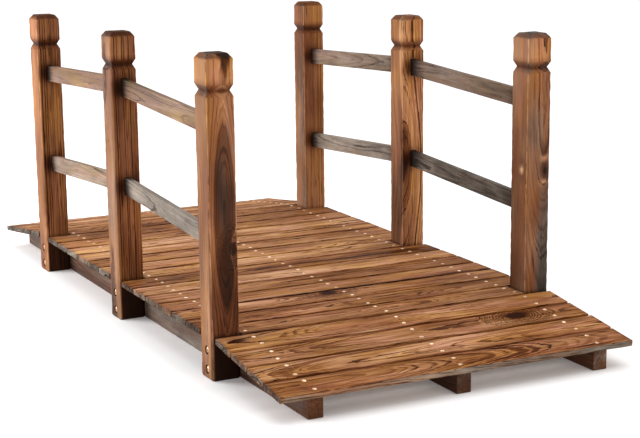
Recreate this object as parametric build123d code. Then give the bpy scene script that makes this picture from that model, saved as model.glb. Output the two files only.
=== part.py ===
"""Wooden garden footbridge: a plank deck on three stringers, with post and rail sides.

Millimetres. X runs along the walkway, Y across it and Z up. The ground is at Z = 0 and
the origin lies on it, under the middle of the deck. "Front" is +X and "left" is -Y.
"""
from build123d import *
from math import cos, radians, tan
import os

# ---- deck planks, laid across the bridge --------------------------------------------
deck_width = 672.0
plank_width = 60.0
plank_gap = 4.7
plank_thickness = 11.0
plank_edge_chamfer = 1.5
plank_end_chamfer = 0.8
bay_planks = 6              # full planks between one pair of posts and the next pair
ramp_planks = 4             # full planks on the slope at each end
ramp_angle = 7.5            # degrees
post_side_clearance = 1.0   # between a post and the end of the plank that it stands beside

# ---- stringers: the three bearers that lie on the ground ------------------------------
stringer_width = 28.0
stringer_height = 68.0
deck_overhang = 6.0         # deck beyond the ends of the stringers

# ---- posts, bolted to the outer stringers ---------------------------------------------
post_size = 51.0
post_height = 550.0
post_edge_radius = 3.0
foot_chamfer = 1.5
cap_bevel_height = 9.0
cap_bevel_inset = 7.0
head_height = 51.0          # from the top of the post down to the groove
groove_height = 20.0
groove_depth = 5.2
groove_shoulder_radius = 4.0

# ---- rails, let into the posts --------------------------------------------------------
rail_thickness = 12.0
rail_height = 33.0
rail_edge_chamfer = 1.0
rail_tenon = 12.0           # how far a rail goes into a post
rail_fit = 0.25             # all round the tenon in its mortise
upper_rail_below_top = 102.0    # from the top of a middle post to the rail's centre line
upper_rail_fall = 21.0          # from a middle post to an end post
lower_rail_above_deck = 182.0   # from the deck to the rail's centre line at a middle post
lower_rail_fall = 26.0

# ---- bolts through post and stringer ---------------------------------------------------
bolt_heights = (16.0, 50.0)
bolt_hole_diameter = 7.0
counterbore_diameter = 16.0
counterbore_depth = 8.0

# ---- worked out from the sizes above ---------------------------------------------------
pitch = plank_width + plank_gap
post_spacing = (bay_planks + 1) * pitch
ramp_start = post_spacing + pitch / 2
ramp_length = ramp_planks * pitch - plank_gap / 2       # along the slope
slope = radians(ramp_angle)
deck_top = stringer_height + plank_thickness
deck_end = ramp_start + ramp_length * cos(slope)
stringer_end = deck_end - deck_overhang
post_centre_y = (deck_width - post_size) / 2
stringer_centre_y = deck_width / 2 - post_size - stringer_width / 2

sides = {"left": -1, "right": 1}
post_rows = {"front": post_spacing, "middle": 0.0, "back": -post_spacing}
rail_levels = {
    "upper": (post_height - upper_rail_below_top, upper_rail_fall),
    "lower": (deck_top + lower_rail_above_deck, lower_rail_fall),
}


def plank(length):
    """One deck board, centred on the origin, its long edges and its ends eased."""
    section = chamfer(Rectangle(plank_width, plank_thickness).vertices(), plank_edge_chamfer)
    board = extrude(Plane.XZ * section, length / 2, both=True)
    ends = board.faces().sort_by(Axis.Y)
    return chamfer(ends[0].edges() + ends[-1].edges(), plank_end_chamfer)


def deck():
    """Every plank by its place, counted from the front end to the back end."""
    full = plank(deck_width)
    between_posts = plank(deck_width - 2 * (post_size + post_side_clearance))
    flat_count = bay_planks + 1
    planks = []
    for place in range(flat_count + ramp_planks, -flat_count - ramp_planks - 1, -1):
        end = 1 if place >= 0 else -1
        steps = abs(place)
        if steps <= flat_count:
            board = between_posts if steps in (0, flat_count) else full
            planks.append(Pos(place * pitch, 0, deck_top - plank_thickness / 2) * board)
        else:
            along = (steps - flat_count - 0.5) * pitch
            hinge = Pos(end * ramp_start, 0, deck_top) * Rot(0, end * ramp_angle, 0)
            planks.append(hinge * Pos(end * along, 0, -plank_thickness / 2) * full)
    return planks


def stringer(centre_y):
    """A bearer: flat on the ground, level under the deck and sloped under each ramp."""
    slope_start = ramp_start - plank_thickness * tan(slope / 2)
    end_height = stringer_height - (stringer_end - slope_start) * tan(slope)
    outline = Polyline(
        (-stringer_end, 0), (stringer_end, 0), (stringer_end, end_height),
        (slope_start, stringer_height), (-slope_start, stringer_height),
        (-stringer_end, end_height), close=True)
    beam = extrude(Plane.XZ * make_face(outline), stringer_width / 2, both=True)
    return Pos(0, centre_y, 0) * beam


def post_blank():
    """A square post standing on the origin: bevelled cap, V groove with rounded shoulders
    under the head, eased corners and foot. The side outline is cut from both directions,
    so corners mitre."""
    half = post_size / 2
    groove_top = post_height - head_height
    outline = Polyline(
        (0, 0), (half, 0), (half, groove_top - groove_height),
        (half - groove_depth, groove_top - groove_height / 2), (half, groove_top),
        (half, post_height - cap_bevel_height), (half - cap_bevel_inset, post_height),
        (0, post_height), close=True)
    right_half = make_face(outline)
    shoulders = [corner for corner in right_half.vertices()
                 if corner.X > half - 0.1 and abs(corner.Y - groove_top) < groove_height + 0.1]
    right_half = fillet(shoulders, groove_shoulder_radius)
    side_view = right_half + mirror(right_half, Plane.YZ)
    across = extrude(Plane.XZ * side_view, post_size, both=True)
    along = extrude(Plane.YZ * side_view, post_size, both=True)
    column = extrude(RectangleRounded(post_size, post_size, post_edge_radius), post_height)
    column = chamfer(column.faces().sort_by(Axis.Z)[0].edges(), foot_chamfer)
    return column & across & along


def rail_bar(level, end, side, grow=0.0):
    """The slat between a middle post and the end post towards `end`, falling outwards.
    `grow` swells it all round, which makes the tool that cuts its mortises."""
    centre_z, fall = rail_levels[level]
    near_x = post_size / 2 - rail_tenon - grow
    far_x = post_spacing - post_size / 2 + rail_tenon + grow
    half = rail_height / 2 + grow
    drop = fall / post_spacing
    near_z = centre_z - drop * near_x
    far_z = centre_z - drop * far_x
    outline = Polyline(
        (end * near_x, near_z - half), (end * far_x, far_z - half),
        (end * far_x, far_z + half), (end * near_x, near_z + half), close=True)
    thickness = rail_thickness + 2 * grow
    bar = extrude(Plane.XZ * make_face(outline), thickness / 2, both=True)
    return Pos(0, side * post_centre_y, 0) * bar


def rail(level, end, side):
    bar = rail_bar(level, end, side)
    long_edges = [edge for edge in bar.edges() if edge.length > 2 * rail_height]
    return chamfer(long_edges, rail_edge_chamfer)


def bolt_holes(post_x, side):
    """Clearance holes through post and stringer, counterbored from the post's outer face."""
    reach = post_size + stringer_width
    outer_face = Plane((post_x, side * deck_width / 2, 0), x_dir=(1, 0, 0), z_dir=(0, side, 0))
    cutters = []
    for height in bolt_heights:
        centre = Plane(outer_face.origin + Vector(0, 0, height), outer_face.x_dir, outer_face.z_dir)
        cutters.append(extrude(centre * Circle(bolt_hole_diameter / 2), -reach))
        cutters.append(extrude(centre * Circle(counterbore_diameter / 2), -counterbore_depth))
    return cutters


def post(row, side):
    post_x = post_rows[row]
    piece = Pos(post_x, side * post_centre_y, 0) * post_blank()
    ends = {"front": (1,), "middle": (1, -1), "back": (-1,)}[row]
    mortises = [rail_bar(level, end, side, rail_fit) for level in rail_levels for end in ends]
    return piece - mortises - bolt_holes(post_x, side)


def build():
    pieces = {"stringer_middle": stringer(0.0)}
    for name, side in sides.items():
        holes = [cutter for post_x in post_rows.values() for cutter in bolt_holes(post_x, side)]
        pieces[f"stringer_{name}"] = stringer(side * stringer_centre_y) - holes
        for row in post_rows:
            pieces[f"post_{name}_{row}"] = post(row, side)
        for level in rail_levels:
            pieces[f"rail_{name}_{level}_front"] = rail(level, 1, side)
            pieces[f"rail_{name}_{level}_back"] = rail(level, -1, side)
    for number, board in enumerate(deck(), start=1):
        pieces[f"deck_plank_{number:02d}"] = board
    return pieces


os.makedirs("parts", exist_ok=True)
for node, shape in build().items():
    export_step(shape, f"parts/{node}.step")
print(f"overall {2 * deck_end:.1f} x {deck_width:.1f} x {post_height:.1f} mm")
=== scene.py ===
"""The looks of a small wooden garden footbridge, built around its CAD model.

Metres. X runs along the walkway, Y across it and Z up. "Front" is +X and "left" is -Y.
Every timber is shaped in its own board frame, with x along the grain, y across the face
and z through the thickness. That frame also places its growth rings.
"""
import itertools
import math
import random
from dataclasses import dataclass

import bmesh
import bpy
from mathutils import Euler, Matrix, Vector, noise


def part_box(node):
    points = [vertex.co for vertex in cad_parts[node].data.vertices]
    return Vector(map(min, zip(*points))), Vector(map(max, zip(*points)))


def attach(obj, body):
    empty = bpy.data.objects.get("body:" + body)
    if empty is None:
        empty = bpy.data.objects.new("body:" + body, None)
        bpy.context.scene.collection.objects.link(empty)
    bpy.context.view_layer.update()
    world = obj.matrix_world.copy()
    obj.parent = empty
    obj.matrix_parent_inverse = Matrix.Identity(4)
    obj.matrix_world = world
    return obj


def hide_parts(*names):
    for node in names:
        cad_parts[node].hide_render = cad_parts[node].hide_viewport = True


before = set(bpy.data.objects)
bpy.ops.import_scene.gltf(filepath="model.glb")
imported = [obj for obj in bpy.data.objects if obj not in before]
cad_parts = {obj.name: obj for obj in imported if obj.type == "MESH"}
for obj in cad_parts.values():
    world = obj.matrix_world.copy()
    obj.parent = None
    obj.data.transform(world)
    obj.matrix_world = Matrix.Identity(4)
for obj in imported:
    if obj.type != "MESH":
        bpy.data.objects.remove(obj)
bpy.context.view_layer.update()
chance = random.Random(11)

# ---- sizes that the frame's boxes don't give ----
CAP_BEVEL_HEIGHT = 0.009
CAP_BEVEL_INSET = 0.007
HEAD_HEIGHT = 0.051
GROOVE_HEIGHT = 0.020
GROOVE_DEPTH = 0.0052
GROOVE_SHOULDER = 0.003
POST_CORNER = 0.003
ARRIS = 0.0009
FOOT_BEVEL = 0.0015

RAIL_HEIGHT = 0.033
RAIL_FIT = 0.00025
RAIL_CORNER = 0.0016
RAIL_TENON = 0.012

FULL_PLANK_WIDTH = 0.060
PLANK_THICKNESS = 0.011
PLANK_CORNER = 0.0018
PLANK_END_CORNER = 0.0008
PLANK_COUNT = 23
RAMP_PLANKS = 4
RAMP_ANGLE = math.radians(7.5)

STRINGER_CORNER = 0.002

BOLT_HEIGHTS = (0.016, 0.050)
BOLT_HOLE_RADIUS = 0.0035
COUNTERBORE_RADIUS = 0.008
COUNTERBORE_DEPTH = 0.008
BOLT_SHANK_RADIUS = 0.003
WASHER_HOLE_RADIUS = 0.0032
SOCKET_WIDTH = 0.004
NUT_WIDTH = 0.010
NUT_DEPTH = 0.005
NUT_CORNER = 0.0004
NUT_END = 0.0066             # from the nut washer's seat to the nut's far end
BOLT_TIP = 0.0095            # and to the tip of the shank

NAIL_HEAD_RADIUS = 0.0039
NAIL_SHANK_RADIUS = 0.0014
NAIL_LENGTH = 0.040
NAIL_SPACING = 0.032

ROUND_SIDES = 28             # sides of a round hole, bolt head or washer
CUT_BEFORE = 0.004           # how far outside a face its holes are drilled from
CUT_PAST = 0.002             # how far a drill comes out on the other side
SAME_POINT = 1e-6            # vertices nearer than this are one
SAME_HEIGHT = 1e-5
CRISP_TIMBER = 38            # degrees at which an edge is left out of the smooth shading
CRISP_METAL = 35

SIDES = {"left": -1, "right": 1}
ROWS = ("front", "middle", "back")
LEVELS = ("upper", "lower")
BEARERS = ("left", "middle", "right")
RAILS_AT = {"front": ("front",), "middle": ("front", "back"), "back": ("back",)}


def middle_of(node):
    low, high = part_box(node)
    return (low + high) / 2


def half_size(node):
    low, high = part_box(node)
    return (high - low) / 2


def clamp(value):
    """The value, kept between 0 and 1."""
    return min(max(value, 0), 1)


def either_way(limit):
    """A random amount from -limit to limit."""
    return chance.uniform(-limit, limit)


# ---- mesh helpers ----
def box_shape(size, centre=(0, 0, 0)):
    """A box as a new bmesh."""
    mesh = bmesh.new()
    bmesh.ops.create_cube(mesh, size=1.0)
    bmesh.ops.scale(mesh, vec=size, verts=mesh.verts)
    bmesh.ops.translate(mesh, vec=centre, verts=mesh.verts)
    return mesh


def moved(mesh, matrix):
    bmesh.ops.transform(mesh, matrix=matrix, verts=mesh.verts)
    return mesh


def turn(degrees, axis):
    return Matrix.Rotation(math.radians(degrees), 4, axis)


def turned_shape(profile, steps, corner=False):
    """A profile of (height, radius) pairs turned about X. With `corner`, it is the line
    of a square piece's corner, so that four steps make the square piece."""
    mesh = bmesh.new()
    across = (1, 1) if corner else (1, 0)
    line = [mesh.verts.new((x, r * across[0], r * across[1])) for x, r in profile]
    edges = [mesh.edges.new(pair) for pair in zip(line, line[1:])]
    bmesh.ops.spin(
        mesh, geom=line + edges, cent=(0, 0, 0), axis=(1, 0, 0), angle=math.tau, steps=steps,
        use_merge=True)
    bmesh.ops.remove_doubles(mesh, verts=mesh.verts, dist=SAME_POINT)
    bmesh.ops.recalc_face_normals(mesh, faces=mesh.faces)
    return mesh


def rod(start, end, radius, sides=ROUND_SIDES):
    """A straight bar along X."""
    return turned_shape([(start, 0), (start, radius), (end, radius), (end, 0)], sides)


def soften(mesh, edges, width, segments):
    bmesh.ops.bevel(
        mesh, geom=edges, offset=width, segments=segments, affect="EDGES", profile=0.5,
        material=-1, clamp_overlap=True)


def sharp_edges(mesh, degrees):
    """Edges where the surface turns by more than this."""
    return [e for e in mesh.edges if e.calc_face_angle(0) > math.radians(degrees)]


def long_edges(mesh):
    """Edges that run along the grain."""
    return [e for e in mesh.edges
            if abs((e.verts[1].co - e.verts[0].co).normalized().x) > 0.85]


def keep_crisp(mesh, degrees):
    """Leaves edges where the surface turns by this or more out of the smooth shading."""
    for edge in mesh.edges:
        angle = edge.calc_face_angle(0)
        edge.smooth = len(edge.link_faces) == 2 and angle < math.radians(degrees)


def slice_across(mesh, place, normal):
    bmesh.ops.bisect_plane(
        mesh, geom=mesh.verts[:] + mesh.edges[:] + mesh.faces[:], dist=SAME_POINT,
        plane_co=place, plane_no=normal)


def slice_along(mesh, step):
    """Cuts across the grain, so that the timber's surface can wander a little."""
    low = min(v.co.x for v in mesh.verts)
    high = max(v.co.x for v in mesh.verts)
    count = round((high - low) / step)
    for cut in range(1, count):
        slice_across(mesh, (low + (high - low) * cut / count, 0, 0), (1, 0, 0))


def slice_lengthwise(mesh, places):
    """Cuts along the grain at these places, both across the face and through it."""
    for normal in ((0, 1, 0), (0, 0, 1)):
        for place in places:
            slice_across(mesh, [place * part for part in normal], normal)


def weather(mesh, seed, depth, wave, arris_wear=0.0, half_section=(0.0, 0.0)):
    """Lets the surface sink by up to `depth`, in waves that are long along the grain, and
    wears the long corners by up to `arris_wear` more."""
    corner_reach = 0.0035
    wear_length = 0.014
    mesh.normal_update()
    moves = []
    for vert in mesh.verts:
        x, y, z = vert.co
        place = Vector((x / (4 * wave), y / wave, z / wave)) + Vector((seed, 2 * seed, 3 * seed))
        sunk = depth * clamp(0.5 + 0.6 * noise.noise(place))
        if all(abs(at) > half - corner_reach for at, half in zip((y, z), half_section)):
            worn = 0.3 + 1.1 * noise.noise(Vector((x / wear_length, seed, y * 90)))
            sunk += arris_wear * clamp(worn)
        moves.append((vert, vert.normal * -sunk))
    for vert, move in moves:
        vert.co += move


def placed(name, data):
    """A new object in the scene."""
    made = bpy.data.objects.new(name, data)
    bpy.context.scene.collection.objects.link(made)
    return made


def to_object(mesh, name):
    data = bpy.data.meshes.new(name)
    mesh.to_mesh(data)
    mesh.free()
    return placed(name, data)


def joined(shapes, name):
    """Several bmeshes as one object."""
    whole = bmesh.new()
    for shape in shapes:
        part = bpy.data.meshes.new("part")
        shape.to_mesh(part)
        shape.free()
        whole.from_mesh(part)
        bpy.data.meshes.remove(part)
    return to_object(whole, name)


def cut_away(mesh, cutters):
    """The bmesh with the cutters' shapes taken out of it."""
    if not cutters:
        return mesh
    work = to_object(mesh, "work")
    tool = joined(cutters, "tool")
    cut = work.modifiers.new("cut", "BOOLEAN")
    cut.operation = "DIFFERENCE"
    cut.solver = "EXACT"
    cut.use_self = True
    cut.object = tool
    bpy.context.view_layer.update()
    depsgraph = bpy.context.evaluated_depsgraph_get()
    result = bmesh.new()
    result.from_mesh(work.evaluated_get(depsgraph).to_mesh())
    for used in (work, tool):
        data = used.data
        bpy.data.objects.remove(used)
        bpy.data.meshes.remove(data)
    bmesh.ops.remove_doubles(result, verts=result.verts, dist=SAME_POINT)
    return result


def dress(piece, slot):
    """Gives a piece smooth shading and its finish, and fixes it to the bridge."""
    for polygon in piece.data.polygons:
        polygon.use_smooth = True
    even = piece.modifiers.new("even shading", "WEIGHTED_NORMAL")
    even.keep_sharp = True
    piece.data.materials.append(FINISHES[slot])
    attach(piece, "root")


# ---- timber ----
def unmarked(place):
    return 0.0


@dataclass
class Log:
    """How a timber was cut from its log, in its board frame, and how it has been treated."""
    seed: float
    heart: tuple                 # where the pith passes: across, through
    lean: float = 0.0            # how the pith rises through the thickness, per metre
    centre: float = 0.0          # where along the timber it is measured from
    bend: float = 0.0            # how far it sinks away on either side of there
    ring: float = 0.0045         # width of a growth ring
    knot: tuple = (0.0, 0.0, 0.0)    # along, across, radius
    heartwood: tuple = (0.0, 0.0)    # radius of the dark heartwood, and how dark it is
    figure: float = 1.0          # how strongly the rings show
    tone: float = 0.0            # paler below 0, darker above
    grey: float = 0.0            # 0 brown, 1 weathered grey
    scorch_and_shade: object = unmarked      # a function of a place: extra scorch, and on posts and planks painted shade
    stain: object = unmarked     # a function of a place: grey stain


def finish_timber(mesh, name, board, log, slot):
    """Turns a shape in its board frame into the finished piece that stands for a CAD node.
    `board` carries the board frame to the bridge."""
    mesh.normal_update()
    places = [vert.co.copy() for vert in mesh.verts]
    end_grain = [clamp((abs(vert.normal.x) - 0.25) / 0.6) for vert in mesh.verts]
    facts = {
        "grain": places,
        "marks": [(log.scorch_and_shade(place), log.stain(place), end)
                  for place, end in zip(places, end_grain)],
        "heart": [(*log.heart, log.lean)] * len(places),
        "sweep": [(log.centre, log.bend, log.ring)] * len(places),
        "knot": [log.knot] * len(places),
        "core": [(*log.heartwood, log.figure)] * len(places),
        "tint": [(log.seed, log.tone, log.grey)] * len(places),
    }
    keep_crisp(moved(mesh, board), CRISP_TIMBER)
    piece = to_object(mesh, name + "_timber")
    for key, vectors in facts.items():
        made = piece.data.attributes.new(key, "FLOAT_VECTOR", "POINT")
        made.data.foreach_set("vector", list(itertools.chain.from_iterable(vectors)))
    dress(piece, slot)
    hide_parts(name)


# ---- posts ----
ROUND_RAIL_DARKENING = 0.95
# painted shade and scorch on a post below the deck; little on its outer face, which the side light
# reaches
UNDER_DECK_SHADE_AND_CHAR = 1.3
OUTER_UNDER_DECK_SHADE_AND_CHAR = 0.1
# painted shade and scorch in the groove under a post's head, centred high so that its
# downward-facing slope is darkest
GROOVE_SHADE_AND_CHAR = 0.9
CAP_CHAR = 0.65
HEAD_PALENESS = 0.35
DARKENING_ABOVE_RAIL = 0.018      # how far the darkening round a rail's end reaches up and down
DARKENING_BESIDE_RAIL = 0.014     # and sideways, from DARKENING_HALF_WIDTH off the middle
DARKENING_HALF_WIDTH = 0.010


def post_blank(height, half):
    """A square post lying along x: bevelled cap, V groove under the head, eased corners."""
    groove_top = height - HEAD_HEIGHT
    corner_line = [
        (0, 0), (0, half - FOOT_BEVEL), (FOOT_BEVEL, half),
        (groove_top - GROOVE_HEIGHT, half),
        (groove_top - GROOVE_HEIGHT / 2, half - GROOVE_DEPTH),
        (groove_top, half),
        (height - CAP_BEVEL_HEIGHT, half),
        (height, half - CAP_BEVEL_INSET), (height, 0),
    ]
    mesh = turned_shape(corner_line, 4, corner=True)
    corners = [e for e in mesh.edges if abs(e.verts[0].co.x - e.verts[1].co.x) > SAME_HEIGHT
               and min(abs(e.verts[0].co.y), abs(e.verts[1].co.y)) > 0.01]
    soften(mesh, corners, POST_CORNER, 4)
    mesh.normal_update()
    shoulders = (groove_top, groove_top - GROOVE_HEIGHT)
    for heights, width, segments in ((shoulders, GROOVE_SHOULDER, 4),
                                     ((height - CAP_BEVEL_HEIGHT, height), ARRIS, 2)):
        rings = [e for e in sharp_edges(mesh, 20)
                 if all(min(abs(v.co.x - h) for h in heights) < SAME_HEIGHT for v in e.verts)]
        soften(mesh, rings, width, segments)
        mesh.normal_update()
    return mesh


def rail_facts(side_name, level, row):
    """A rail's middle, half its length, its slope and its thickness, from its CAD box."""
    node = f"rail_{side_name}_{level}_{row}"
    half = half_size(node)
    fall = 2 * half.z - RAIL_HEIGHT
    end = 1 if row == "front" else -1
    return middle_of(node), half.x, -end * fall / (2 * half.x), 2 * half.y


# a timber lying on its side: board x along the bridge, y up, z towards the left
ON_SIDE = Matrix(((1, 0, 0, 0), (0, 0, -1, 0), (0, 1, 0, 0), (0, 0, 0, 1)))


def sloping(slope):
    """Shears a shape so that it rises by `slope` along x."""
    shear = Matrix.Identity(4)
    shear[2][0] = slope
    return shear


def mortises(side_name, row, centre, half, to_board):
    """The shapes that cut a post's mortises, and the points where its rails come out."""
    tools = []
    mouths = []
    for level in LEVELS:
        for rail_row in RAILS_AT[row]:
            middle, half_length, slope, thickness = rail_facts(side_name, level, rail_row)
            bar = box_shape((2 * (half_length + RAIL_FIT), thickness + 2 * RAIL_FIT,
                             RAIL_HEIGHT + 2 * RAIL_FIT))
            tools.append(moved(bar, to_board @ Matrix.Translation(middle) @ sloping(slope)))
            x = centre.x + (half if middle.x > centre.x else -half)
            mouths.append(to_board @ Vector((x, centre.y, middle.z + slope * (x - middle.x))))
    return tools, mouths


def counterbored_holes(side, half):
    """The shapes that drill a post for its bolts, from its outer face."""
    tools = []
    for height in BOLT_HEIGHTS:
        seat = Matrix.Translation((height, -side * half, 0)) @ turn(90 * side, "Z")
        for depth, radius in ((2 * half + CUT_PAST, BOLT_HOLE_RADIUS),
                              (COUNTERBORE_DEPTH, COUNTERBORE_RADIUS)):
            tools.append(moved(rod(-CUT_BEFORE, depth, radius), seat))
    return tools


def post_scorch_and_shade(own_marks, side, half, height, mouths):
    """How dark each place on a post is, beyond the marks of its own: round its rails, painted
    shade and scorch under the deck and in the groove, and scorch on the cap."""
    deck_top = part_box("stringer_middle")[1].z + PLANK_THICKNESS
    groove_middle = height - HEAD_HEIGHT - GROOVE_HEIGHT / 2

    def near_rail(place):
        """Darker round the rails' ends, on the faces that they come out of."""
        nearest = 0.0
        for mouth in mouths:
            if (place.z - mouth.z) * (1 if mouth.z > 0 else -1) > -0.004:
                beside = max(abs(place.y) - DARKENING_HALF_WIDTH, 0) / DARKENING_BESIDE_RAIL
                above = (place.x - mouth.x) / DARKENING_ABOVE_RAIL
                nearest = max(nearest, math.exp(-above ** 2 - beside ** 2))
        return nearest

    def scorch_and_shade(place):
        on_outer_face = -side * place.y > half - 0.004
        # painted shade and scorch below the deck, little on the lit outer face
        below_deck = OUTER_UNDER_DECK_SHADE_AND_CHAR if on_outer_face else UNDER_DECK_SHADE_AND_CHAR
        under_deck = 1 - clamp((place.x - deck_top + 0.012) / 0.014)
        # painted shade and scorch in the groove, darkest on its downward-facing upper slope
        groove = math.exp(-((place.x - groove_middle - 0.002) / 0.006) ** 2)
        cap = clamp((place.x - height + CAP_BEVEL_HEIGHT + 0.0005) / 0.003)
        head = clamp((place.x - height + HEAD_HEIGHT) / 0.008)
        return ROUND_RAIL_DARKENING * near_rail(place) + below_deck * under_deck \
            + GROOVE_SHADE_AND_CHAR * groove + CAP_CHAR * cap - HEAD_PALENESS * head + own_marks(place)

    return scorch_and_shade


def make_post(side_name, row, log):
    node = f"post_{side_name}_{row}"
    centre = middle_of(node)
    half = half_size(node).y
    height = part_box(node)[1].z
    side = SIDES[side_name]
    # board x up the post, y towards the left, z towards the front
    board = Matrix(((0, 0, 1, centre.x), (0, -1, 0, centre.y), (1, 0, 0, 0), (0, 0, 0, 1)))
    tools, mouths = mortises(side_name, row, centre, half, board.inverted())
    mesh = cut_away(post_blank(height, half), tools + counterbored_holes(side, half))
    slice_along(mesh, step=0.006)
    slice_lengthwise(mesh, [0.005 * step for step in range(-4, 5)])
    weather(mesh, log.seed, depth=0.0004, wave=0.02, arris_wear=0.0009, half_section=(half, half))
    log.scorch_and_shade = post_scorch_and_shade(log.scorch_and_shade, side, half, height, mouths)
    finish_timber(mesh, node, board, log, "post_wood")


# ---- rails ----
RAIL_END_DARKENING = 1.7
RAIL_END_DARKENING_REACH = 0.026


def make_rail(side_name, level, row, log):
    middle, half_length, slope, thickness = rail_facts(side_name, level, row)
    mesh = box_shape((2 * half_length, RAIL_HEIGHT, thickness))
    soften(mesh, long_edges(mesh), RAIL_CORNER, 2)
    slice_along(mesh, step=0.008)
    weather(mesh, log.seed, depth=0.0004, wave=0.014)
    board = Matrix.Translation(middle) @ sloping(slope) @ ON_SIDE

    def scorch_and_shade(place):
        # darker near the ends, where the rail comes out of a post
        out_of_post = max(half_length - abs(place.x) - RAIL_TENON, 0)
        return RAIL_END_DARKENING * math.exp(-(out_of_post / RAIL_END_DARKENING_REACH) ** 2)

    log.scorch_and_shade = scorch_and_shade
    finish_timber(mesh, f"rail_{side_name}_{level}_{row}", board, log, "rail_wood")


# ---- stringers ----
def make_stringer(which, log):
    node = f"stringer_{which}"
    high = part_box(node)[1]
    middle = middle_of(node)
    width = 2 * half_size(node).y
    slope_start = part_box(f"deck_plank_{RAMP_PLANKS:02d}")[0].x
    end_height = high.z - (high.x - slope_start) * math.tan(RAMP_ANGLE)
    mesh = bmesh.new()
    outline = [(-high.x, 0), (high.x, 0), (high.x, end_height), (slope_start, high.z),
               (-slope_start, high.z), (-high.x, end_height)]
    side_face = mesh.faces.new([mesh.verts.new((x, z - middle.z, 0)) for x, z in outline])
    grown = bmesh.ops.extrude_face_region(mesh, geom=[side_face])
    far_side = [v for v in grown["geom"] if isinstance(v, bmesh.types.BMVert)]
    bmesh.ops.translate(mesh, vec=(0, 0, width), verts=far_side)
    bmesh.ops.translate(mesh, vec=(0, 0, -width / 2), verts=mesh.verts)
    bmesh.ops.recalc_face_normals(mesh, faces=mesh.faces)
    soften(mesh, sharp_edges(mesh, 20), STRINGER_CORNER, 2)
    drills = []
    bolted_posts = ROWS if which in SIDES else ()
    for row in bolted_posts:
        x = middle_of(f"post_{which}_{row}").x
        for height in BOLT_HEIGHTS:
            seat = Matrix.Translation((x, height - middle.z, 0))
            drills.append(moved(rod(-width, width, BOLT_HOLE_RADIUS), seat @ turn(90, "Y")))
    mesh = cut_away(mesh, drills)
    slice_along(mesh, step=0.02)
    weather(mesh, log.seed, depth=0.0004, wave=0.03)
    finish_timber(mesh, node, Matrix.Translation(middle) @ ON_SIDE, log, "stringer_wood")


# ---- deck ----
PLANK_EDGE = FULL_PLANK_WIDTH / 2 - 0.0014   # beyond this, a place is on a plank's edge
PLANK_END_REACH = 0.0025
PLANK_END_CHAR = 0.25
PLANK_END_GREY = 0.7
OUTWARD_EDGE_CHAR = -0.1
PLANK_TRIM = 0.0022          # how much shorter than drawn a plank may be at each end
PLANK_SWAY = 0.06            # degrees that it may be turned
PLANK_NUDGE = 0.0005         # how far it may lie from its place
OUTER_PLANK_INSET = 0.0002
NAIL_OFF_ROW = 0.0025        # how far a nail may be from its row
NAIL_OFF_PLACE = 0.003       # and along the row from its place
NAIL_TILT = 0.06
FACING_OUT = {1: -1, PLANK_COUNT: 1}         # planks whose one long edge faces away, and which
POINT_DOWN = turn(-90, "Y")


def plank_board(number):
    """What carries a plank's board frame, x to the right and y towards the back, to the
    deck, and the plank's length."""
    node = f"deck_plank_{number:02d}"
    board = Matrix(((0, -1, 0, 0), (1, 0, 0, 0), (0, 0, 1, 0), (0, 0, 0, 1)))
    tilt = 0.0
    if number <= RAMP_PLANKS:
        tilt = RAMP_ANGLE
    elif number > PLANK_COUNT - RAMP_PLANKS:
        tilt = -RAMP_ANGLE
    carry = Matrix.Translation(middle_of(node)) @ Matrix.Rotation(tilt, 4, "Y") @ board
    return carry, 2 * half_size(node).y


def mark_plank(log, length, outward):
    """Scorches and greys a plank's ends and long edges, and paints shade on the edges that face
    the gaps between planks.
    """
    end = length / 2 - PLANK_END_REACH

    def scorch_and_shade(place):
        if abs(place.x) > end:
            return PLANK_END_CHAR
        if outward * place.y > PLANK_EDGE:
            return OUTWARD_EDGE_CHAR
        if abs(place.y) < PLANK_EDGE:
            return 0.0
        # painted shade, with scorch, on the long edges that face the gaps between planks
        return 0.38 + 0.5 * noise.noise(Vector((place.x * 14, place.y * 50, log.seed)))

    def stain(place):
        if abs(place.x) > end:
            return PLANK_END_GREY
        return 1.0 + 0.5 * place.x if outward * place.y > PLANK_EDGE else 0.0

    log.scorch_and_shade = scorch_and_shade
    log.stain = stain


def nail_seats(rows):
    """Where two nails enter a plank in each row, and how each is turned."""
    seats = []
    for row in rows:
        for side in (-1, 1):
            place = Vector((row + either_way(NAIL_OFF_ROW),
                            side * NAIL_SPACING / 2 + either_way(NAIL_OFF_PLACE),
                            PLANK_THICKNESS / 2))
            tilt = Euler((either_way(NAIL_TILT), either_way(NAIL_TILT), chance.uniform(0, 1)))
            seats.append((place, tilt.to_matrix().to_4x4()))
    return seats


def dimple(place):
    """The hollow that a nail's head leaves in a plank."""
    hollow = turned_shape([(-0.0008, 0), (-0.0008, NAIL_HEAD_RADIUS + 0.0003),
                           (0.0003, NAIL_HEAD_RADIUS + 0.0009), (0.0003, 0)], 16)
    return moved(hollow, Matrix.Translation(place) @ POINT_DOWN)


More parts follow.
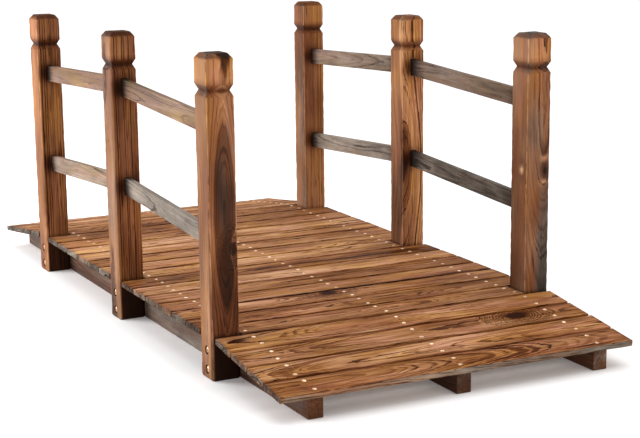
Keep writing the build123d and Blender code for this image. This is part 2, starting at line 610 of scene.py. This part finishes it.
def make_plank(number, log, nail_rows):
    """Lays one deck plank. Returns the places of its nails, two for each row."""
    board, length = plank_board(number)
    trim = (chance.uniform(0, PLANK_TRIM), chance.uniform(0, PLANK_TRIM))
    mesh = box_shape((length - sum(trim), FULL_PLANK_WIDTH, PLANK_THICKNESS),
                     ((trim[0] - trim[1]) / 2, 0, 0))
    soften(mesh, long_edges(mesh), PLANK_CORNER, 3)
    mesh.normal_update()
    soften(mesh, sharp_edges(mesh, 60), PLANK_END_CORNER, 2)
    sway = turn(either_way(PLANK_SWAY), "Z")
    nudge = Matrix.Translation((0, either_way(PLANK_NUDGE), 0))
    outward = FACING_OUT.get(number, 0)
    if outward:
        sway = Matrix.Identity(4)
        nudge = Matrix.Translation((0, -outward * OUTER_PLANK_INSET, 0))
    laid = board @ nudge @ sway
    seats = nail_seats(nail_rows)
    mesh = cut_away(mesh, [dimple(place) for place, tilt in seats])
    slice_along(mesh, step=0.009)
    weather(mesh, log.seed, depth=0.0003, wave=0.02, arris_wear=0.0007,
            half_section=(FULL_PLANK_WIDTH / 2, PLANK_THICKNESS / 2))
    mark_plank(log, length, outward)
    finish_timber(mesh, f"deck_plank_{number:02d}", laid, log, "deck_wood")
    return [laid @ Matrix.Translation(place) @ tilt for place, tilt in seats]


# ---- nails and bolts ----
# profiles are (height, radius) pairs, measured from where the head or washer sits
NAIL = [
    (0.00045, 0), (0.0003, 0.0019), (-0.0001, 0.0031), (-0.0004, NAIL_HEAD_RADIUS),
    (-0.0008, NAIL_HEAD_RADIUS), (-0.0012, NAIL_SHANK_RADIUS),
    (-NAIL_LENGTH + 0.004, NAIL_SHANK_RADIUS), (-NAIL_LENGTH, 0),
]
BUTTON_HEAD = [
    (0.0008, 0.0033), (0.0008, 0.0067), (0.0030, 0.0070), (0.0046, 0.0066),
    (0.0060, 0.0056), (0.0070, 0.0040), (0.0073, 0.0024), (0.0073, 0),
]
HEAD_WASHER = [
    (0, WASHER_HOLE_RADIUS), (0, 0.0074), (0.0003, 0.0077), (0.0008, 0.0075),
    (0.0008, WASHER_HOLE_RADIUS), (0, WASHER_HOLE_RADIUS),
]
NUT_WASHER = [
    (0, WASHER_HOLE_RADIUS), (0, 0.0078), (-0.0004, 0.0081), (-0.0013, 0.0081),
    (-0.0016, 0.0078), (-0.0016, WASHER_HOLE_RADIUS), (0, WASHER_HOLE_RADIUS),
]
SOCKET_FLOOR = 0.0040
SOCKET_TOP = 0.0100


def make_nails(name, places):
    """Round-headed nails, points down."""
    shapes = [moved(moved(turned_shape(NAIL, 10), POINT_DOWN), place) for place in places]
    dress(joined(shapes, name), "nail_brass")


def hexagon(width, start, end):
    """A hexagonal bar along x, `width` across its flats."""
    return rod(start, end, width / 2 / math.cos(math.radians(30)), 6)


def bolt_set(reach):
    """A button-head bolt with a hexagonal socket, its washers and nut. x = 0 is the seat
    of the head, and the shank runs to -x, `reach` to the nut's washer."""
    head = turned_shape(BUTTON_HEAD, ROUND_SIDES)
    bmesh.ops.holes_fill(head, edges=head.edges)
    bmesh.ops.recalc_face_normals(head, faces=head.faces)
    head = cut_away(head, [hexagon(SOCKET_WIDTH, SOCKET_FLOOR, SOCKET_TOP)])
    head_washer = turned_shape(HEAD_WASHER, ROUND_SIDES)
    tip = -reach - BOLT_TIP
    shank = turned_shape([(0.001, 0), (0.001, BOLT_SHANK_RADIUS), (tip + 0.001, BOLT_SHANK_RADIUS),
                          (tip, 0.0022), (tip, 0)], 20)
    nut_washer = turned_shape([(height - reach, radius) for height, radius in NUT_WASHER],
                              ROUND_SIDES)
    nut_end = -reach - NUT_END
    nut = hexagon(NUT_WIDTH, nut_end, nut_end + NUT_DEPTH)
    nut.normal_update()
    soften(nut, sharp_edges(nut, 50), NUT_CORNER, 2)
    return [head, head_washer, shank, nut_washer, nut]


def make_bolts(side_name, row):
    side = SIDES[side_name]
    post = f"post_{side_name}_{row}"
    stringer = f"stringer_{side_name}"
    outer = middle_of(post).y + side * half_size(post).y
    inner = middle_of(stringer).y - side * half_size(stringer).y
    reach = abs(outer - inner) - COUNTERBORE_DEPTH
    shapes = []
    for height in BOLT_HEIGHTS:
        seat = Matrix.Translation((middle_of(post).x, outer - side * COUNTERBORE_DEPTH, height))
        spin = Matrix.Rotation(chance.uniform(0, 1), 4, "X")
        for shape in bolt_set(reach):
            shape.normal_update()
            keep_crisp(shape, CRISP_METAL)
            shapes.append(moved(shape, seat @ turn(90 * side, "Z") @ spin))
    dress(joined(shapes, f"bolts_{side_name}_{row}"), "bolt_brass")


# ---- materials ----
HEART_SWEEP = 0.13           # length over which a pith sinks away
KNOT_OVAL = 0.62             # a knot's width over its length
KNOT_RINGS = 2.9             # growth rings in one radius of a knot
KNOT_SWING = 1.4             # how far a knot pushes the grain aside, in radii
HEARTWOOD_BLUR = 0.0016
HEARTWOOD_RIM = 0.0020       # how far outside the heartwood its pale rim lies


def paint(code):
    """A colour from its hexadecimal screen code, as linear light."""
    channels = [int(code[i:i + 2], 16) / 255 for i in (0, 2, 4)]
    linear = [c / 12.92 if c <= 0.04045 else ((c + 0.055) / 1.055) ** 2.4 for c in channels]
    return (*linear, 1.0)


def palette(codes):
    return [(place, paint(code)) for place, code in codes.items()]


def operator(operation, swapped=False):
    """A method of Value that adds a Math node."""
    def method(self, *others):
        terms = (*others, self) if swapped else (self, *others)
        return self.finish.maths(operation, *terms)
    return method


@dataclass
class Value:
    """A number in a material. Arithmetic on it adds Math nodes."""
    finish: object
    socket: object

    __add__ = operator("ADD")
    __radd__ = operator("ADD", swapped=True)
    __sub__ = operator("SUBTRACT")
    __rsub__ = operator("SUBTRACT", swapped=True)
    __mul__ = operator("MULTIPLY")
    __rmul__ = operator("MULTIPLY", swapped=True)
    __truediv__ = operator("DIVIDE")
    __pow__ = operator("POWER")
    __abs__ = operator("ABSOLUTE")


class Finish:
    """A material in the making."""

    def __init__(self, name):
        self.material = bpy.data.materials.new(name)
        self.material.use_nodes = True
        self.tree = self.material.node_tree
        self.shader = self.tree.nodes["Principled BSDF"]

    def feed(self, socket, value):
        if isinstance(value, Value):
            value = value.socket
        if isinstance(value, bpy.types.NodeSocket):
            self.tree.links.new(value, socket)
        else:
            socket.default_value = value

    def shade(self, inputs):
        """Feeds the shader's inputs, by name."""
        for name, value in inputs.items():
            self.feed(self.shader.inputs[name], value)

    def node(self, kind, settings, inputs):
        """Adds a node: its settings first, then the values or links of its sockets."""
        made = self.tree.nodes.new(kind)
        for name, setting in settings.items():
            if name == "stops":
                ramp = made.color_ramp
                while len(ramp.elements) < len(setting):
                    ramp.elements.new(0.5)
                for element, (position, colour) in zip(ramp.elements, setting):
                    element.position = position
                    element.color = colour
            else:
                setattr(made, name, setting)
        for key, value in inputs.items():
            self.feed(made.inputs[key], value)
        return made

    def value(self, kind, settings, inputs):
        return Value(self, self.node(kind, settings, inputs).outputs[0])

    def maths(self, operation, *values):
        return self.value("ShaderNodeMath", {"operation": operation}, dict(enumerate(values)))

    def attribute(self, name):
        return self.node("ShaderNodeAttribute", {"attribute_name": name}, {}).outputs["Vector"]

    def parts(self, vector):
        split = self.node("ShaderNodeSeparateXYZ", {}, {0: vector})
        return [Value(self, output) for output in split.outputs]

    def stretch(self, vector, factors):
        return self.node("ShaderNodeVectorMath", {"operation": "MULTIPLY"},
                         {0: vector, 1: factors}).outputs[0]

    def noise(self, vector, factors, detail=2.0, rough=0.5):
        """Noise from 0 to 1 whose waves are 1/factors long in each direction."""
        return self.value(
            "ShaderNodeTexNoise", {},
            {"Vector": self.stretch(vector, factors), "Scale": 1.0, "Detail": detail,
             "Roughness": rough})

    def step(self, value, low, high):
        """Rises smoothly from 0 at `low` to 1 at `high`."""
        return self.value(
            "ShaderNodeMapRange", {"interpolation_type": "SMOOTHSTEP"},
            {"Value": value, "From Min": low, "From Max": high})

    def ramp(self, value, stops):
        return self.node("ShaderNodeValToRGB", {"stops": stops}, {0: value}).outputs["Color"]

    def blend(self, factor, below, above):
        """`above` over `below`, by factor."""
        mixed = self.node("ShaderNodeMix", {"data_type": "RGBA"}, {0: factor, 6: below, 7: above})
        return mixed.outputs[2]

    def bump(self, height, strength, distance):
        return self.node("ShaderNodeBump", {}, {
            "Height": height, "Strength": strength, "Distance": distance}).outputs[0]


class Timber(Finish):
    """A material that reads what each timber carries: its board frame and its log's facts."""

    def __init__(self, name):
        super().__init__(name)
        grain = self.attribute("grain")
        self.along, self.across, self.through = self.parts(grain)
        self.heart_across, self.heart_through, self.lean = self.facts("heart")
        self.centre, self.bend, self.ring = self.facts("sweep")
        self.knot_along, self.knot_across, self.knot_radius = self.facts("knot")
        self.heartwood_radius, self.heartwood_depth, self.figure = self.facts("core")
        self.seed, self.tone, self.grey = self.facts("tint")
        self.scorch_and_shade, self.stain, self.end = self.facts("marks")
        self.place = self.node("ShaderNodeVectorMath", {"operation": "MULTIPLY_ADD"},
                               {0: self.seed, 1: (3.1, 1.7, 2.3), 2: grain}).outputs[0]

    def facts(self, name):
        return self.parts(self.attribute(name))

    def cloud(self, factors, detail=2.0, rough=0.5):
        """Noise from 0 to 1 that is different in every timber."""
        return self.noise(self.place, factors, detail, rough)

    def sway(self, factors, size, detail=2.0, rough=0.5):
        """The same noise round 0, `size` from its lowest to its highest."""
        return (self.cloud(factors, detail, rough) - 0.5) * size

    def from_pith(self, wander):
        """How far a place is from the pith, which bends and wanders along the timber."""
        reach = self.along - self.centre
        sink = 1 - self.maths("EXPONENT", reach * reach * (-1 / HEART_SWEEP ** 2))
        aside = self.across - self.heart_across - self.sway((3.0, 0.0, 0.0), 2.4 * wander, 1.0)
        above = self.through - self.heart_through - self.lean * reach + self.bend * sink \
            - self.sway((4.0, 0.2, 0.2), 1.1 * wander, 1.0) \
            - self.sway((14.0, 6.0, 6.0), 0.35 * wander, 1.0)
        return (aside ** 2 + above ** 2) ** 0.5

    def from_knot(self, half_through):
        """How far a place is from the knot, in radii of the knot, and that radius, which is
        greatest at the upper face."""
        radius = self.knot_radius * self.step(self.through * (1 / half_through), 0.45, 0.9)
        lengthwise = (self.along - self.knot_along) * KNOT_OVAL
        reach = (lengthwise ** 2 + (self.across - self.knot_across) ** 2) ** 0.5 \
            + self.sway((70.0, 70.0, 70.0), 0.009) + self.sway((330.0, 330.0, 330.0), 0.006)
        return reach / self.maths("MAXIMUM", radius, 0.00001), radius

    def ring_count(self, radius):
        """How many growth rings lie inside a radius. Some years were better than others."""
        even = radius / self.ring
        years = self.value("ShaderNodeTexNoise", {"noise_dimensions": "1D"},
                           {"W": even * 0.45 + self.seed, "Scale": 1.0, "Detail": 1.0})
        return even + years * 2.4

    def latewood(self, rings):
        """How strongly a place shows its ring's dark latewood."""
        within = self.maths("FRACT", rings)
        boldness = self.value("ShaderNodeTexWhiteNoise", {"noise_dimensions": "1D"},
                              {"W": self.maths("FLOOR", rings) + self.seed})
        late = self.step(within, 0.46, 0.90) * self.step(within, 1.0, 0.96)
        return late * (0.15 + 0.85 * boldness ** 1.5)

    def heartwood(self, radius):
        """How dark the heartwood is at a radius, and how strong its pale rim."""
        edge = self.heartwood_radius
        inside = self.step(radius, edge + HEARTWOOD_BLUR, edge - HEARTWOOD_BLUR)
        rim = self.step(abs(radius - edge - HEARTWOOD_RIM), 0.0014, 0.0005)
        return inside * self.heartwood_depth, rim * self.heartwood_depth

    def browns(self, darkness, shades):
        """The shade for a darkness, redder, yellower and rosier in patches."""
        hue = self.cloud((7.0, 38.0, 38.0))
        brown = self.ramp(darkness, shades)
        for amount, tint in ((0.6 * self.step(self.cloud((3.0, 25.0, 25.0)), 0.45, 0.70), REDDER),
                             (0.8 * self.step(hue, 0.50, 0.64), YELLOWER),
                             (0.8 * self.step(hue, 0.50, 0.36), ROSIER)):
            brown = self.blend(amount, brown, self.ramp(darkness, turned(shades, tint)))
        return brown


def turned(shades, tint):
    """The same shades, their red, green and blue multiplied by the tint's."""
    return [(place, (*(part * factor for part, factor in zip(colour, tint)), 1.0))
            for place, colour in shades]


def wood(name, half_section, shades, roughness, contrast, mottle, strands, wander, arris,
         gloss):
    """Scorched and brushed softwood. Growth rings lie round the pith, wander slowly along
    the timber and swing round knots; latewood is dark and stands proud of the earlywood."""
    finish = Timber(name)
    half_across, half_through = half_section

    # rings, pushed aside by knots and closing round them
    in_knots, knot_radius = finish.from_knot(half_through)
    beside_knot = finish.maths("EXPONENT", in_knots * in_knots * -0.22)
    around_knot = finish.step(in_knots, 4.4, 2.8)
    core = finish.step(in_knots, 1.3, 0.6)
    radius = finish.from_pith(wander) + beside_knot * knot_radius * KNOT_SWING \
        + finish.sway((5.0, 32.0, 32.0), 0.8 * wander) \
        + finish.sway((42.0, 210.0, 210.0), 0.0020, 2.0, 0.6)
    rings = finish.ring_count(radius)
    late = finish.latewood(rings + (in_knots * KNOT_RINGS - rings) * around_knot)
    heartwood, rim = finish.heartwood(radius)

    # fibres, and patches of scorch and grey
    fibre = finish.cloud((16.0, 560.0, 560.0), 3.0, 0.65)
    strand = finish.cloud((9.0, 170.0, 170.0), 2.0, 0.6)
    lens = finish.step(finish.cloud((12.0, 130.0, 130.0)), 0.62, 0.67)
    patch = finish.cloud((4.0, 14.0, 14.0))
    blotch = finish.cloud((22.0, 45.0, 45.0), 3.0, 0.6)
    cover = finish.cloud((7.0, 60.0, 60.0), 3.0)
    dulled = finish.step(finish.grey + finish.stain + 0.30 * finish.end + (cover - 0.5) * 0.9,
                         0.25, 0.95)

    # where the figure is fainter, and the long corners, which the deck darkens as painted shade in
    # its gaps and the posts pale as wear and a painted highlight
    outward = abs(finish.across) * (1 / half_across)
    upward = abs(finish.through) * (1 / half_through)
    plain_side = 1 - 0.45 * finish.step(outward, 0.96, 0.995)
    sloping_cut = finish.step(finish.end, 0.05, 0.30) * finish.step(finish.end, 0.98, 0.65)
    plainness = plain_side * (1 - 0.65 * sloping_cut) * (1 - 1.3 * heartwood)
    near_arris = finish.step(outward, 0.87, 0.985) * finish.step(upward, 0.87, 0.985)

    # how dark the fire and the brush have left each place, with painted shade under the deck, in
    # the posts' grooves and in the deck's gaps, and a painted highlight on the posts' corners
    figure = 0.70 * late + 0.80 * lens * (0.20 + 0.80 * late) + 0.55 * (fibre - 0.5) \
        + strands * (strand - 0.5) + 1.50 * around_knot * late + 0.70 * core \
        + 0.30 * beside_knot
    darkness = 0.36 + contrast * finish.figure * plainness * figure + mottle * (patch - 0.5) \
        + 0.13 * finish.tone + 0.40 * finish.scorch_and_shade + 0.05 * finish.end \
        + 0.60 * dulled * (blotch - 0.5) + heartwood - 0.40 * rim + arris * near_arris
    finish.shade({
        "Base Color": finish.blend(dulled, finish.browns(darkness, shades), finish.ramp(darkness, GREYS)),
        "Specular IOR Level": gloss,
        "Roughness": roughness + 0.16 * (fibre - 0.5) - 0.10 * late + 0.12 * dulled
        + 0.2 * finish.end,
        "Normal": finish.bump(late * 0.6 + fibre * 0.5 + core * 0.3, 0.6, 0.0010),
    })
    return finish.material


def metal(name, bright, dull, roughness, metallic):
    """Brass-coloured plating, dulled in patches."""
    finish = Finish(name)
    place = finish.node("ShaderNodeTexCoord", {}, {}).outputs["Object"]
    cloud = finish.noise(place, (160.0, 160.0, 160.0), 3.0, 0.6)
    scratch = finish.noise(place, (900.0, 900.0, 2500.0), 2.0, 0.6)
    tarnish = finish.step(cloud, 0.40, 0.62)
    finish.shade({
        "Base Color": finish.blend(tarnish, bright, dull),
        "Metallic": metallic,
        "Roughness": roughness + 0.18 * tarnish + 0.1 * scratch,
        "Normal": finish.bump(scratch, 0.15, 0.0002),
    })
    return finish.material


REDDER = (1.06, 0.86, 0.70)
YELLOWER = (1.03, 0.99, 0.64)
ROSIER = (1.02, 0.97, 1.18)
# shades from the lightest to the darkest, for scorch and painted shade alike
DECK_PALETTE = palette({0: "d3a783", 0.25: "ac7f59", 0.5: "825330", 0.75: "552c10", 1: "280f03"})
POST_PALETTE = palette({0: "d09d6e", 0.25: "9f6d45", 0.5: "704426", 0.75: "45230f", 1: "241107"})
RAIL_PALETTE = palette({0: "a78a6f", 0.3: "7e6551", 0.6: "5a4535", 1: "241a14"})
STRINGER_PALETTE = palette({0: "8a5b3c", 0.3: "633d25", 0.6: "3f2415", 1: "1c0e07"})
GREYS = palette({0: "9e9286", 0.4: "72685f", 0.7: "443b34", 1: "221b16"})

post_half = half_size("post_left_front").y
rail_half = half_size("rail_left_upper_front").y
stringer_half = half_size("stringer_middle")
FINISHES = {
    # the deck's arris darkening is painted shade in the gaps between planks
    "deck_wood": wood(
        "deck_wood", (FULL_PLANK_WIDTH / 2, PLANK_THICKNESS / 2), DECK_PALETTE,
        roughness=0.55, contrast=1.15, mottle=0.7, strands=0.65, wander=0.006, arris=0.28,
        gloss=0.03),
    # the posts' arris paling is wear and a painted highlight on their corners
    "post_wood": wood(
        "post_wood", (post_half, post_half), POST_PALETTE,
        roughness=0.5, contrast=0.85, mottle=0.85, strands=0.30, wander=0.0022, arris=-0.4,
        gloss=0.07),
    "rail_wood": wood(
        "rail_wood", (RAIL_HEIGHT / 2, rail_half), RAIL_PALETTE,
        roughness=0.6, contrast=0.6, mottle=1.05, strands=0.65, wander=0.003, arris=-0.1,
        gloss=0.08),
    "stringer_wood": wood(
        "stringer_wood", (stringer_half.z, stringer_half.y), STRINGER_PALETTE,
        roughness=0.62, contrast=0.6, mottle=0.8, strands=0.65, wander=0.004, arris=0.0,
        gloss=0.15),
    "nail_brass": metal(
        "nail_brass", bright=(0.85, 0.62, 0.44, 1), dull=(0.50, 0.33, 0.20, 1),
        roughness=0.40, metallic=0.6),
    "bolt_brass": metal(
        "bolt_brass", bright=(0.74, 0.50, 0.31, 1), dull=(0.44, 0.27, 0.14, 1),
        roughness=0.46, metallic=0.8),
}


# ---- the logs, and the marks on their timbers ----
def random_log(seed, **facts):
    """A timber cut anywhere from its log, unless the facts say where."""
    drawn = {
        "heart": (either_way(0.018), -chance.uniform(0.008, 0.035)),
        "lean": chance.choice((-1, 1)) * 0.008 * 9 ** chance.uniform(0, 1),
        "centre": either_way(0.2),
        "bend": chance.uniform(-0.008, 0.014),
        "ring": chance.uniform(0.0020, 0.0036),
        "heartwood": (chance.uniform(0.006, 0.016), chance.uniform(0.0, 0.08)),
        "tone": either_way(1),
        "grey": chance.uniform(-0.3, 0.1),
    }
    drawn.update(facts)
    return Log(seed=seed, **drawn)


# A post's board frame: x up, y towards the left, z towards the front.
FACE_FROM = 0.018            # further out than this, a place takes the marks of a face
LEFT_SIDE_FROM = 0.0222      # further left than this, a place is on the left side itself
HEAD_FROM = 0.500


def on_left_side(place):
    """1 on a post's left side, which the camera sees, and 0 elsewhere."""
    return 1.0 if place.y > LEFT_SIDE_FROM else 0.0


def by_side(left, other=0.0):
    """A mark as strong as `left` on a post's left side, and as `other` elsewhere."""
    return lambda place: left if on_left_side(place) else other


def smudge(place, along, across, reach, width, left_side=False):
    """How deep a place lies in a soft-edged mark on a post's front, or on its left side."""
    out, sideways = (place.y, place.z) if left_side else (place.z, place.y)
    if out < FACE_FROM:
        return 0.0
    return math.exp(-((place.x - along) / reach) ** 2 - ((sideways - across) / width) ** 2)


def dark_foot(place):
    """Extra scorch low on a post's front, and a dark wedge on the front of its head."""
    if place.z < FACE_FROM:
        return 0.05 * on_left_side(place)
    low = clamp((0.25 - place.x) / 0.10)
    wedge_half = 0.001 + (place.x - HEAD_FROM) * 0.22
    wedge = clamp((wedge_half - abs(place.y + 0.009)) / 0.004) if place.x > HEAD_FROM else 0.0
    groove = smudge(place, 0.489, -0.0025, 0.006, 0.012)
    return 0.75 * low + 1.6 * wedge - 0.7 * groove


def dark_post_grey(place):
    """Grey in the dark heart on a post's front."""
    return 0.25 * smudge(place, 0.330, -0.0025, 0.090, 0.014)


def wet_foot(place):
    """How far a place is inside the grey stain that climbs the right side of a post."""
    sideways = clamp((0.008 - place.y) / 0.020)
    forwards = 0.4 + 0.6 * clamp((place.z + 0.012) / 0.034)
    blur = 0.06 * noise.noise(Vector((place.x * 18, place.y * 90, place.z * 60)))
    return sideways * forwards * clamp((0.30 + blur - place.x) / 0.19)


def pale_knot(place):
    return smudge(place, 0.304, 0.010, 0.0075, 0.0060, left_side=True)


def stained_post_grey(place):
    return 0.7 * wet_foot(place) + 0.2 * pale_knot(place)


def stained_post_marks(place):
    """Scorch on a post's wet foot, round a pale knot on its left side, and round a knot
    between two pale crescents on its front."""
    round_pale_knot = smudge(place, 0.304, 0.011, 0.018, 0.010, left_side=True)
    crescents = smudge(place, 0.326, -0.014, 0.0045, 0.008) \
        + smudge(place, 0.280, -0.013, 0.0045, 0.008)
    return 0.08 * on_left_side(place) + 0.6 * wet_foot(place) - 2.4 * pale_knot(place) \
        + 0.7 * round_pale_knot - 1.1 * crescents \
        + 0.25 * smudge(place, 0.303, -0.014, 0.014, 0.010)


def gold_post_marks(place):
    """Two dark smudges by one corner of a pale post."""
    return 0.15 * on_left_side(place) + 0.7 * smudge(place, 0.305, 0.020, 0.020, 0.007) \
        + 0.7 * smudge(place, 0.240, 0.019, 0.020, 0.007)


BEYOND_POSTS = 0.48
OUTER_FACE_END = 0.728       # further along than this, a place is on a stringer's corner
STRINGER_END = 0.731         # and from here on its end


def outer_grey(place):
    """Grey weathering on the outer face of the left stringer, strongest between the middle
    and front posts and behind the back one."""
    if place.z < 0 or abs(place.x) > OUTER_FACE_END:
        return 0.0
    return 0.95 if 0.0 < place.x < BEYOND_POSTS or place.x < -BEYOND_POSTS else 0.72


def dark_end(place):
    """Extra scorch on the ends of a stringer."""
    return 0.18 if abs(place.x) > STRINGER_END else 0.0


STRAIGHT = dict(bend=0.0, lean=0.0, heartwood=(0.0, 0.0))     # and all of it sapwood
POST_LOGS = {
    ("left", "front"): dict(
        heart=(-0.0025, 0.0212), centre=0.281, bend=0.0195, lean=0.0, ring=0.0032,
        heartwood=(0.0193, 0.26), figure=0.5, tone=0.1, grey=0.30, knot=(0.225, -0.016, 0.007),
        scorch_and_shade=dark_foot, stain=dark_post_grey),
    ("right", "front"): dict(
        heart=(-0.012, 0.0), centre=0.34, bend=0.010, lean=0.07, ring=0.0030,
        heartwood=(0.0, 0.0), figure=0.6, tone=1.1, grey=0.42, knot=(0.302, -0.015, 0.0026),
        scorch_and_shade=stained_post_marks, stain=stained_post_grey),
    ("left", "middle"): dict(
        STRAIGHT, heart=(-0.060, -0.008), ring=0.0058, figure=1.1, tone=0.0, grey=-0.35,
        scorch_and_shade=by_side(0.25, 0.35), stain=by_side(0.82)),
    ("right", "middle"): dict(
        heart=(0.024, 0.006), centre=0.244, bend=0.022, lean=0.0, ring=0.0030,
        heartwood=(0.028, 0.17), figure=1.45, tone=-1.25, grey=0.2, scorch_and_shade=gold_post_marks,
        stain=by_side(0.15)),
    ("left", "back"): dict(
        STRAIGHT, heart=(-0.058, 0.010), ring=0.0058, figure=1.1, tone=-0.1, grey=-0.35,
        scorch_and_shade=by_side(0.08, 0.2)),
    ("right", "back"): dict(
        STRAIGHT, heart=(0.050, -0.01), ring=0.0050, figure=1.0, tone=-0.3, grey=0.15,
        scorch_and_shade=by_side(0.3), stain=by_side(0.30)),
}
# tone and grey of the rails: upper front, upper back, lower front, lower back
RAIL_TINTS = {
    "left": ((-0.45, -0.15), (-0.1, 0.30), (0.4, 0.95), (-0.4, 0.60)),
    "right": ((0.3, 0.50), (0.0, 0.60), (1.5, 0.95), (-1.3, 0.85)),
}
STRINGER_FACTS = {
    "left": dict(tone=0.4, grey=-0.3, stain=outer_grey),
    "middle": dict(tone=0.7, grey=0.1, scorch_and_shade=dark_end),
    "right": dict(tone=0.1, grey=0.2, scorch_and_shade=dark_end),
}
PLANK_FACTS = {
    1: dict(tone=0.7), 2: dict(tone=0.0), 3: dict(tone=0.3, knot=(0.205, 0.009, 0.012)),
    7: dict(knot=(-0.030, 0.018, 0.010)), 10: dict(tone=-0.8), 12: dict(tone=-0.6),
    13: dict(tone=-0.5), 15: dict(tone=-0.6),
}

# ---- the bridge ----
seeds = itertools.count(1)
for side_name in SIDES:
    for row in ROWS:
        make_post(side_name, row, random_log(next(seeds), **POST_LOGS[(side_name, row)]))
        make_bolts(side_name, row)
    for (level, row), (tone, grey) in zip(itertools.product(LEVELS, ("front", "back")),
                                          RAIL_TINTS[side_name]):
        make_rail(side_name, level, row, random_log(next(seeds), tone=tone, grey=grey))
for which in BEARERS:
    make_stringer(which, random_log(next(seeds), heart=(0.01, 0.03), bend=0.0,
                                    **STRINGER_FACTS[which]))

nail_rows = [middle_of(f"stringer_{which}").y for which in BEARERS]
nails = {which: [] for which in BEARERS}
for number in range(1, PLANK_COUNT + 1):
    log = random_log(next(seeds), **PLANK_FACTS.get(number, {}))
    pairs = make_plank(number, log, nail_rows)
    for row, which in enumerate(BEARERS):
        nails[which] += pairs[2 * row:2 * row + 2]
for which in BEARERS:
    make_nails(f"nails_{which}", nails[which])

# ---- studio ----
FLOOR_SIZE = 20
FLOOR_GLOW = 0.105           # the bridge stands on a light table
WORLD_LIGHT = 0.62

floor_mesh = bmesh.new()
bmesh.ops.create_grid(floor_mesh, x_segments=1, y_segments=1, size=FLOOR_SIZE)
floor = to_object(floor_mesh, "studio_floor")
floor_finish = Finish("studio_floor")
floor_finish.shade({
    "Base Color": (0.84, 0.84, 0.85, 1),
    "Roughness": 0.9,
    "Emission Color": (1, 1, 1, 1),
    "Emission Strength": FLOOR_GLOW,
})
floor.data.materials.append(floor_finish.material)

world = bpy.data.worlds.new("studio")
world.use_nodes = True
background = world.node_tree.nodes["Background"].inputs
background["Color"].default_value = (1, 1, 1, 1)
background["Strength"].default_value = WORLD_LIGHT
bpy.context.scene.world = world


def towards(azimuth, elevation):
    """The direction at an azimuth, from +X towards +Y, and an elevation, in degrees."""
    flat = math.cos(math.radians(elevation))
    return Vector((flat * math.cos(math.radians(azimuth)), flat * math.sin(math.radians(azimuth)),
                   math.sin(math.radians(elevation))))


def aim(light, direction):
    light.rotation_euler = direction.to_track_quat("Z", "Y").to_euler()


def softbox(name, power, colour, width, tall, azimuth, elevation, distance, height):
    """A rectangular soft light that faces a point `height` above the bridge's middle."""
    lamp = bpy.data.lights.new(name, "AREA")
    lamp.color = colour
    lamp.energy = power
    lamp.shape = "RECTANGLE"
    lamp.size = width
    lamp.size_y = tall
    made = placed(name, lamp)
    direction = towards(azimuth, elevation)
    made.location = direction * distance + Vector((0, 0, height))
    aim(made, direction)


ceiling = bpy.data.lights.new("ceiling", "SUN")
ceiling.energy = 2.0
ceiling.angle = math.radians(70)
aim(placed("ceiling", ceiling), towards(azimuth=120, elevation=72))
softbox("side_softbox", power=58, colour=(1.0, 1.0, 1.0), width=1.4, tall=1.4,
        azimuth=-122, elevation=16, distance=2.4, height=0.25)
softbox("front_softbox", power=13, colour=(1.0, 0.84, 0.68), width=2.0, tall=0.7,
        azimuth=14, elevation=6, distance=2.2, height=0.13)

# ---- camera ----
CAMERA_PLACE = Vector((2.9354, -1.3623, 0.8280))
CAMERA_AZIMUTH = -26.583      # degrees, like the next two
CAMERA_ELEVATION = 12.809
CAMERA_ROLL = -0.675
CAMERA_LENS = 92.86
CAMERA_SHIFT = 0.05

camera_data = bpy.data.cameras.new("studio_camera")
camera_data.lens = CAMERA_LENS
camera_data.shift_y = CAMERA_SHIFT
camera = placed("studio_camera", camera_data)
back = towards(CAMERA_AZIMUTH, CAMERA_ELEVATION)
level_right = (-back).cross(Vector((0, 0, 1))).normalized()
level = Matrix((level_right, level_right.cross(-back), back)).transposed().to_4x4()
camera.matrix_world = Matrix.Translation(CAMERA_PLACE) @ level @ turn(CAMERA_ROLL, "Z")
bpy.context.scene.camera = camera
bpy.context.scene.view_settings.view_transform = "Standard"

bpy.context.view_layer.update()
